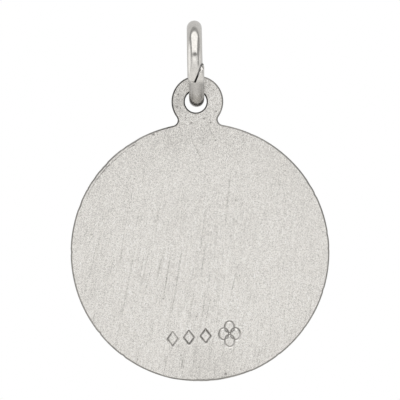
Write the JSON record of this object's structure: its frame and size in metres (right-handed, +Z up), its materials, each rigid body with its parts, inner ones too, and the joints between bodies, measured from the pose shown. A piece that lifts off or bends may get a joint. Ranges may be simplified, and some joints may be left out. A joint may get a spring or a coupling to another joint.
{
  "type": "religious medal pendant",
  "caption": "Round satin silver medal with a hanging tab, a plain back and a raised cross in a rim on its front, hanging from an open round-wire jump ring.",
  "frame": {"origin": "inside top of the jump ring, where a chain or bail bears", "axes": "+Z up along the hanging line, -Y out of the medal's plain back towards the viewer of the picture, +X to that viewer's right"},
  "size_m": [0.019, 0.0064, 0.0265],
  "materials": {
    "polished_silver": "polished round wire with fine drawing marks",
    "satin_silver": "satin silver with near-upright brushing, tiny pits and nicks along the edge"
  },
  "bodies": {
    "ring": {"jump_ring": "polished_silver"},
    "medal": {"medal": "satin_silver"}
  },
  "joints": [
    {"name": "medal_swing", "type": "hinge", "parent": "ring", "child": "medal", "pos_m": [0, 0, -0.00486], "axis": [0, 1, 0], "range_deg": [-110, 110]}
  ]
}
